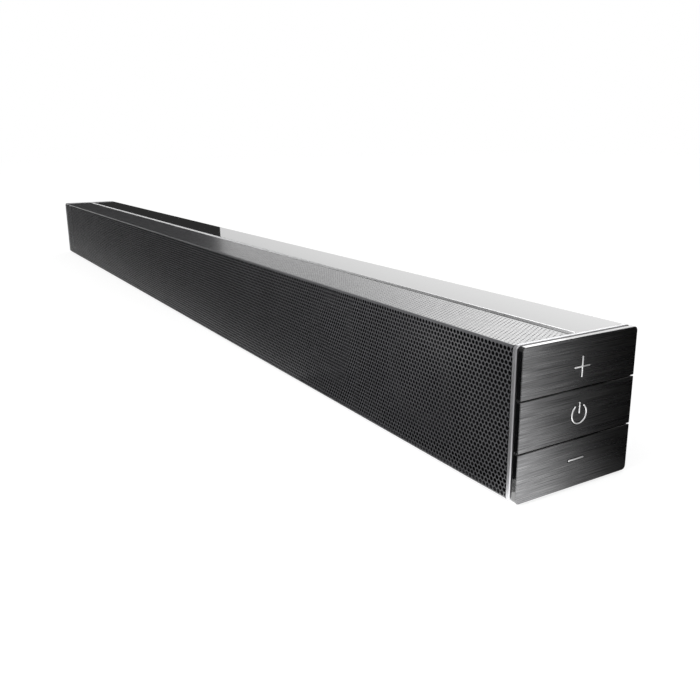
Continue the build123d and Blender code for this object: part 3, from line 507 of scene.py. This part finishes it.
def modify(piece, kind, **settings):
    """Adds a modifier and applies it."""
    made = piece.modifiers.new(kind.title(), kind)
    for name, value in settings.items():
        setattr(made, name, value)
    bpy.ops.object.modifier_apply(modifier=made.name)


def finish_piece(piece, slot, body, finish=None):
    """Gives a new piece its material, the named finish or else its slot's, and the body that it rides on."""
    piece.data.materials.clear()
    piece.data.materials.append(finishes[finish or slot])
    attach(piece, body)
    piece.select_set(False)
    return piece


# ==== perforated grille =========================================================================
grille_low, grille_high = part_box("front_grille")
bend = (grille_high.z - grille_low.z - front_rows * row_height) / 2     # outer radius of the sheet's bends


def punched_length(name, border, up, rows, hole_radius, thickness, left, right):
    """One length of perforated sheet, from left to right; its rows climb along up from the border."""
    bpy.ops.object.select_all(action="DESELECT")
    turn = (math.radians(90), 0, 0) if up.z else (0, 0, 0)
    bpy.ops.mesh.primitive_circle_add(vertices=6, radius=hole_pitch / 2 / math.cos(math.radians(30)),
                                      fill_type="NGON", rotation=turn,
                                      location=border - up * row_height / 2 + Vector((left, 0, 0)))
    piece = start(name)
    centre = piece.data.polygons[0].center.copy()
    pick(piece, "EDGE", lambda place: True)
    bpy.ops.mesh.subdivide(number_cuts=1)
    bpy.ops.mesh.select_all(action="SELECT")
    bpy.ops.mesh.poke()
    pick(piece, "VERT", lambda place: (place - centre).length < near)
    bpy.ops.mesh.bevel(offset=hole_radius, segments=1, affect="VERTICES")
    pick(piece, "FACE", lambda place: (place - centre).length < near)
    bpy.ops.mesh.delete(type="FACE")
    bpy.ops.mesh.select_all(action="SELECT")
    bpy.ops.mesh.duplicate()
    bpy.ops.transform.translate(value=up * row_height - Vector((hole_pitch / 2, 0, 0)))
    bpy.ops.object.mode_set(mode="OBJECT")
    columns = math.ceil((right - left) / hole_pitch) + 2
    modify(piece, "ARRAY", count=columns, use_relative_offset=False, use_constant_offset=True,
           constant_offset_displace=(hole_pitch, 0, 0), use_merge_vertices=True, merge_threshold=near)
    modify(piece, "ARRAY", count=math.ceil(rows / 2) + 1, use_relative_offset=False, use_constant_offset=True,
           constant_offset_displace=up * row_height * 2, use_merge_vertices=True, merge_threshold=near)
    bpy.ops.object.mode_set(mode="EDIT")
    for point, outward in ((Vector((left, 0, 0)), Vector((-1, 0, 0))), (Vector((right, 0, 0)), Vector((1, 0, 0))),
                           (border, -up), (border + up * row_height * rows, up)):
        bpy.ops.mesh.select_all(action="SELECT")
        bpy.ops.mesh.bisect(plane_co=point, plane_no=outward, clear_outer=True)
    bpy.ops.mesh.select_all(action="SELECT")
    bpy.ops.mesh.remove_doubles(threshold=near / 2)
    bpy.ops.object.mode_set(mode="OBJECT")
    modify(piece, "SOLIDIFY", thickness=thickness, offset=-1)
    smooth(45)
    return finish_piece(piece, "grille_steel", "cabinet")


def lengths(count):
    """Ends of the lengths that the sheet is modelled in, cut on whole columns."""
    columns = (grille_high.x - grille_low.x) / hole_pitch
    cuts = [round(columns * k / count) * hole_pitch + grille_low.x for k in range(1, count)]
    return list(zip([grille_low.x] + cuts, cuts + [grille_high.x]))


def plain_border(name, y, z, side_y, side_z, flats):
    """A border of the sheet without holes: a quarter bend round (y, z), with flats that run on from its edges."""
    bpy.ops.object.select_all(action="DESELECT")
    bpy.ops.mesh.primitive_cylinder_add(vertices=bend_corners, radius=bend, depth=grille_high.x - grille_low.x,
                                        end_fill_type="NOTHING", rotation=(0, math.radians(90), 0),
                                        location=(0, y, z))
    piece = start(name)
    pick(piece, "FACE", lambda place: (place.y - y) * side_y < 0 or (place.z - z) * side_z < 0)
    bpy.ops.mesh.delete(type="FACE")
    bpy.ops.object.mode_set(mode="OBJECT")
    for (edge_y, edge_z), run in flats:
        edge = Vector((0, edge_y, edge_z))
        pick(piece, "EDGE", lambda place: (place - edge).length < near)
        bpy.ops.mesh.extrude_region_move(TRANSFORM_OT_translate={"value": (0, *run)})
        bpy.ops.object.mode_set(mode="OBJECT")
    modify(piece, "SOLIDIFY", thickness=top_sheet, offset=-1)
    smooth(25)
    return finish_piece(piece, "grille_steel", "cabinet")


rows_low = grille_low.z + bend      # where the rows of the front begin
strip_front = grille_low.y + bend
strip_rear = strip_front + top_rows * row_height
hem = grille_high.y + hem_reach - bend
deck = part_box("top_panel")[0].z + panel_rib
grille_pieces = [
    plain_border("grille_lower_border", strip_front, rows_low, -1, -1,
                 [((strip_front, grille_low.z), (lip_reach - bend, 0))]),
    plain_border("grille_upper_border", strip_front, grille_high.z - bend, -1, 1, []),
    plain_border("grille_rear_border", hem, grille_high.z - bend, 1, 1,
                 [((hem, grille_high.z), (strip_rear - hem, 0)),
                  ((hem + bend, grille_high.z - bend), (0, deck - grille_high.z + bend))])]
for k, (left, right) in enumerate(lengths(front_sheets)):
    grille_pieces.append(punched_length(f"grille_front_{k + 1}", Vector((0, grille_low.y, rows_low)),
                                        Vector((0, 0, 1)), front_rows, front_hole, front_sheet, left, right))
for k, (left, right) in enumerate(lengths(top_sheets)):
    grille_pieces.append(punched_length(f"grille_top_{k + 1}", Vector((0, strip_front, grille_high.z)),
                                        Vector((0, 1, 0)), top_rows, top_hole, top_sheet, left, right))
for piece in grille_pieces:
    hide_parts("front_grille")


# ==== trim and panel ============================================================================
def slab(name, low, high, foot_low, foot_high, foot_base):
    """A bar between two corners; a foot runs down from its underside."""
    bpy.ops.object.select_all(action="DESELECT")
    bpy.ops.mesh.primitive_cube_add(size=1, location=(low + high) / 2)
    bpy.context.object.scale = high - low
    bar = start(name)
    pick(bar, "FACE", lambda place: place.z < low.z + near)
    bpy.ops.mesh.inset(thickness=(high.y - low.y - foot_high + foot_low) / 2)
    bpy.ops.transform.translate(value=(0, (foot_low + foot_high - low.y - high.y) / 2, 0))
    bpy.ops.mesh.extrude_region_move(TRANSFORM_OT_translate={"value": (0, 0, foot_base - low.z)})
    bpy.ops.object.mode_set(mode="OBJECT")
    return bar


def trim_bar():
    """The bright bar between strip and panel: its front slope catches the light, its web clips between the roofs."""
    low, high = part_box("top_trim")
    web = min((low.y + high.y - trim_web) / 2, low.y + trim_width - trim_bevel - trim_web)
    bar = slab("trim_bar", Vector((low.x, low.y, deck)), Vector((high.x, low.y + trim_width, high.z)),
               web, web + trim_web, low.z)
    pick(bar, "EDGE", lambda place: place.z > high.z - near and place.y < low.y + near)
    bpy.ops.mesh.bevel(offset=trim_slope, segments=1, affect="EDGES")
    bpy.ops.object.mode_set(mode="OBJECT")
    modify(bar, "BEVEL", width=trim_bevel, segments=2, limit_method="ANGLE")
    smooth(60)
    modify(bar, "WEIGHTED_NORMAL", keep_sharp=True)
    finish_piece(bar, "bright_trim", "cabinet")
    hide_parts("top_trim")


def panel():
    """The gloss panel: it runs from the trim to the rear edge, where it is rounded."""
    low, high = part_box("top_panel")
    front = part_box("top_trim")[0].y + trim_width + panel_seam
    rib = (low.y + high.y - shell_wall) / 2
    bar = slab("panel", Vector((low.x, front, deck)), high, rib - rib_width / 2, rib + rib_width / 2, low.z)
    pick(bar, "EDGE", lambda place: place.z > high.z - near and place.y > high.y - near)
    bpy.ops.mesh.bevel(offset=panel_round, segments=6, affect="EDGES")
    bpy.ops.object.mode_set(mode="OBJECT")
    smooth(30)
    modify(bar, "WEIGHTED_NORMAL", keep_sharp=True)
    finish_piece(bar, "gloss_panel", "cabinet")
    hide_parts("top_panel")


trim_bar()
panel()


# ==== signs on the keys =========================================================================
# A sign is a silver layer on a matt black layer that shows round it as a painted shade outline, for the sign's shadow
# edge; for each: its name's ending, its rim all round, height, bevel and finish.
sign_layers = (("", 0.0, sign_proud, sign_bevel, "silver_lacquer"),
               ("_shade_outline", shade_outline_rim, shade_outline_proud, shade_outline_proud / 2, "baffle_abs"))


def sign_block(name, y, z, width, height, proud):
    """A flat bar let into a key's face, standing a little proud of it."""
    bpy.ops.object.select_all(action="DESELECT")
    bpy.ops.mesh.primitive_cube_add(size=1, location=(face_x + (proud - sign_set) / 2, y, z))
    bpy.context.object.scale = (proud + sign_set, width, height)
    return start(name)


def grow(piece, y, z, outward, distance):
    """Draws out the side of the sign's middle block at (y, z) that faces outward."""
    def faces_outward(place):
        aside = Vector((0, place.y - y, place.z - z))
        return aside.dot(outward) > near and aside.cross(outward).length < near

    pick(piece, "FACE", faces_outward)
    bpy.ops.mesh.extrude_region_move(TRANSFORM_OT_translate={"value": outward * distance})
    bpy.ops.object.mode_set(mode="OBJECT")


def finish_sign(piece, body, edge, finish):
    """Takes the sharp edges off a sign and gives it its finish and body."""
    modify(piece, "BEVEL", width=edge, segments=3, limit_method="ANGLE")
    smooth(50)
    finish_piece(piece, "bright_trim", body, finish)


def plus_sign(y, z):
    """Two crossed strokes."""
    for ending, rim, proud, edge, finish in sign_layers:
        stroke = sign_stroke + 2 * rim
        sign = sign_block("plus_sign" + ending, y, z, stroke, stroke, proud)
        for outward in ((0, 1, 0), (0, -1, 0), (0, 0, 1), (0, 0, -1)):
            grow(sign, y, z, Vector(outward), (sign_arm - sign_stroke) / 2)
        finish_sign(sign, "volume_up", edge, finish)


def minus_sign(y, z):
    """One stroke."""
    for ending, rim, proud, edge, finish in sign_layers:
        sign = sign_block("minus_sign" + ending, y, z, sign_arm + 2 * rim, sign_stroke + 2 * rim, proud)
        finish_sign(sign, "volume_down", edge, finish)


def power_sign(y, z):
    """A ring that is open at the top, and a bar that stands in the gap."""
    for ending, rim, proud, edge, finish in sign_layers:
        gap = ring_gap - 2 * rim / ring_radius
        first = math.pi / 2 + gap / 2
        bpy.ops.object.select_all(action="DESELECT")
        bpy.ops.mesh.primitive_plane_add(size=1, rotation=(first, 0, 0), location=(
            face_x + (proud - sign_set) / 2, y + ring_radius * math.cos(first), z + ring_radius * math.sin(first)))
        bpy.context.object.scale = (proud + sign_set, sign_stroke + 2 * rim, 1)
        ring = start("power_ring" + ending)
        pick(ring, "FACE", lambda place: True)
        bpy.ops.mesh.spin(steps=ring_corners, angle=2 * math.pi - gap, center=(face_x, y, z), axis=(-1, 0, 0))
        bpy.ops.mesh.select_all(action="SELECT")
        bpy.ops.mesh.normals_make_consistent(inside=False)
        bpy.ops.object.mode_set(mode="OBJECT")
        finish_sign(ring, "power", edge, finish)
        bar = sign_block("power_bar" + ending, y, z + bar_rise, sign_stroke + 2 * rim, bar_length + 2 * rim, proud)
        finish_sign(bar, "power", edge, finish)


def slot_lip(name, low, high):
    """Lip moulded on the middle key: it closes a slot between two keys, below their faces."""
    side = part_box("power_key")[1].y - lip_short
    bpy.ops.object.select_all(action="DESELECT")
    bpy.ops.mesh.primitive_cube_add(size=1, location=(face_x - lip_depth, 0, (low + high) / 2))
    bpy.context.object.scale = (lip_thick, 2 * side, high - low - 2 * lip_clear)
    lip = start(name)
    modify(lip, "BEVEL", width=lip_bevel, segments=2, limit_method="ANGLE")
    smooth(50)
    finish_piece(lip, "key_plastic", "power")


def sign_place(face, rise):
    """Middle of a sign on its key's face, as y and z."""
    low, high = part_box(face)
    return (low.y + high.y) / 2 + sign_side, (low.z + high.z) / 2 + rise


face_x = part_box("power_face")[1].x
plus_sign(*sign_place("volume_up_face", plus_rise))
power_sign(*sign_place("power_face", power_rise))
minus_sign(*sign_place("volume_down_face", minus_rise))
slot_lip("power_upper_lip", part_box("power_face")[1].z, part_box("volume_up_face")[0].z)
slot_lip("power_lower_lip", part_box("volume_down_face")[1].z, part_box("power_face")[0].z)


# ==== studio ====================================================================================
def glow(name, strength, apex, fade):
    """Material of a card: an even glow, or one that fades with the compass bearing from the apex."""
    material = bpy.data.materials.new(name)
    material.use_nodes = True
    tree = material.node_tree
    tree.nodes.remove(tree.nodes["Principled BSDF"])
    light = add(tree, "Emission", {"Color": linear("#ffffff"), "Strength": strength})
    if fade:
        place = add(tree, "TexCoord").outputs["Object"]
        place = add(tree, "Mapping", {"Vector": place, "Location": (-apex[0], -apex[1], 0)})
        turn = add(tree, "TexGradient", {"Vector": place}, gradient_type="RADIAL").outputs["Fac"]
        ramp = add(tree, "ValToRGB", {"Fac": turn}, [(degrees / 360 + 0.5, level) for degrees, level in fade])
        tree.links.new(ramp.outputs["Color"], light.inputs["Color"])
    tree.links.new(light.outputs[0], tree.nodes["Material Output"].inputs["Surface"])
    return material


def bearing(degrees, distance, height, about):
    """A point at a compass bearing from +X, seen from a point on the floor."""
    angle = math.radians(degrees)
    return (about[0] + distance * math.cos(angle), about[1] + distance * math.sin(angle), height)


def card(name, strength, apex, first, last, rings, fade=()):
    """A card of the studio, seen only in reflections: it sweeps round the apex from one bearing to another.

    Each ring is a distance from the apex and a height; the card joins them one after another. The fade gives levels
    of its strength at bearings."""
    steps = max(1, round((last - first) / card_step))
    bearings = [first + (last - first) * k / steps for k in range(steps + 1)]
    corners = [bearing(degrees, distance, height, apex) for degrees in bearings for distance, height in rings]
    count = len(rings)
    faces = [(k * count + j, (k + 1) * count + j, (k + 1) * count + j + 1, k * count + j + 1)
             for k in range(steps) for j in range(count - 1)]
    mesh = bpy.data.meshes.new(name)
    mesh.from_pydata(corners, [], faces)
    made = bpy.data.objects.new(name, mesh)
    bpy.context.scene.collection.objects.link(made)
    made.data.materials.append(glow(name, strength, apex, fade))
    made.visible_camera = made.visible_diffuse = made.visible_transmission = made.visible_shadow = False


def backdrop():
    """White to the camera and in reflections; soft even light for the rest."""
    world = bpy.data.worlds.new("studio")
    bpy.context.scene.world = world
    world.use_nodes = True
    world.cycles.sampling_method = "NONE"
    tree = world.node_tree
    path = add(tree, "LightPath")
    seen = add(tree, "Math", {0: path.outputs["Is Camera Ray"], 1: path.outputs["Is Glossy Ray"]}, operation="ADD")
    seen = add(tree, "Math", {0: seen, 1: path.outputs["Is Transmission Ray"]}, operation="ADD", use_clamp=True)
    level = add(tree, "MapRange", {"Value": seen, 3: room_level, 4: 1.0})
    tree.nodes["Background"].inputs["Color"].default_value = linear("#ffffff")
    tree.links.new(level.outputs[0], tree.nodes["Background"].inputs["Strength"])


def pale_floor():
    """Matt paper, lifted to white for the camera so that only the object's shadow shows on it."""
    bpy.ops.mesh.primitive_plane_add(size=floor_size)
    floor = bpy.context.object
    floor.name = "floor"
    material = bpy.data.materials.new("matt_paper")
    material.use_nodes = True
    tree = material.node_tree
    tree.nodes.remove(tree.nodes["Principled BSDF"])
    paper = add(tree, "BsdfDiffuse", {"Color": linear(floor_paper)})
    seen = add(tree, "BsdfDiffuse", {"Color": linear(floor_seen)})
    lift = add(tree, "Emission", {"Color": linear("#ffffff"), "Strength": floor_lift})
    shown = add(tree, "AddShader", {0: seen, 1: lift})
    path = add(tree, "LightPath")
    surface = add(tree, "MixShader", {0: path.outputs["Is Camera Ray"], 1: paper, 2: shown})
    tree.links.new(surface.outputs[0], tree.nodes["Material Output"].inputs["Surface"])
    floor.data.materials.append(material)


def softbox(name, place, target, size, power):
    """A rectangular lamp aimed at the target; reflections show the cards and not the lamps."""
    lamp = bpy.data.lights.new(name, "AREA")
    lamp.shape = "RECTANGLE"
    lamp.size, lamp.size_y = size
    lamp.energy = power
    made = bpy.data.objects.new(name, lamp)
    bpy.context.scene.collection.objects.link(made)
    made.location = place
    made.rotation_euler = (Vector(target) - Vector(place)).to_track_quat("-Z", "Y").to_euler()
    made.visible_glossy = False


backdrop()
pale_floor()
softbox("overhead_softbox", (0.3, -0.6, 1.6), (0, 0, 0), (1.6, 1.0), 7)
softbox("front_softbox", (0.4, -0.32, 0.16), (0.38, 0, 0.03), (0.15, 0.15), 1.0)

# Behind the object: the gloss panel mirrors the light up to the flag's sharp edge, and the sky lights the strip.
middle = (0.03, 0.0)
card("rear_light", 1.5, middle, 118, 158.7, [(4, -0.2), (4, 1.15)], [(118, 1.0), (158.7, 0.513)])
card("rear_sky", 3.3, middle, 90, 158.7, [(4, 1.15), (4, 8)],
     [(120, 0.8), (133, 0.9), (141, 0.5), (149, 0.08), (158.7, 0.0)])
card("rear_flag", 0.03, middle, 158.7, 183, [(4, -0.2), (4, 8), (0.3, 9)])

# Beyond the keys: their brushed faces mirror the floor, brightest near the grille.
twin = (0.2215, -0.217)     # the camera's place, mirrored in the plane of the keys
near_fade = [(39, 0.9), (45, 0.9), (47.5, 0.5), (49.6, 0.18), (52, 0.045), (54, 0.01)]
far_fade = [(39, 0.95), (44.5, 0.9), (46.4, 0.5), (48.2, 0.13), (50.5, 0.015), (54, 0.002)]
card("end_near_floor", 2.5, twin, 38, 100, [(0.24, on_floor), (0.32, on_floor)], near_fade)
card("end_floor", 1.7, twin, 38, 100, [(0.32, on_floor), (2.5, on_floor)], far_fade)
card("end_wall", 0.4, twin, 20, 117, [(2.5, on_floor), (2.5, 3.0)], far_fade)

# In front: the grille, the bezel and the keys' sides mirror the floor and wall; from behind, the panel mirrors the
# screen.
corner = (0.405, -0.031)    # foot of the cabinet's edge between grille and keys
front_fade = [(-179, 0.4), (-176, 0.16), (-170, 0.03), (-152, 0.08), (-149, 0.9), (-145, 1.0), (-140, 0.01)]
card("front_near_floor", 0.3, corner, -180, -126, [(0.01, on_floor), (0.18, on_floor)], front_fade)
card("front_floor", 1.1, corner, -180, -126, [(0.18, on_floor), (1.8, on_floor)], front_fade)
card("front_wall", 0.15, corner, -172, -126, [(1.8, on_floor), (1.8, 2.0)])
card("front_screen", 0.45, middle, -125, -5, [(4, 0.15), (4, 1.7)])
card("near_floor", 0.42, (0.42, -0.031), -80, -15, [(0.01, on_floor), (1.2, on_floor)])

lens = bpy.data.cameras.new("camera")
lens.sensor_width = camera_film
lens.lens = camera_lens
lens.shift_x, lens.shift_y = camera_shift
lens.clip_start = camera_near
camera = bpy.data.objects.new("camera", lens)
bpy.context.scene.collection.objects.link(camera)
camera.location = camera_place
camera.rotation_euler = Euler([math.radians(degrees) for degrees in camera_turn], "XYZ")
bpy.context.scene.camera = camera
bpy.context.scene.view_settings.view_transform = "Standard"
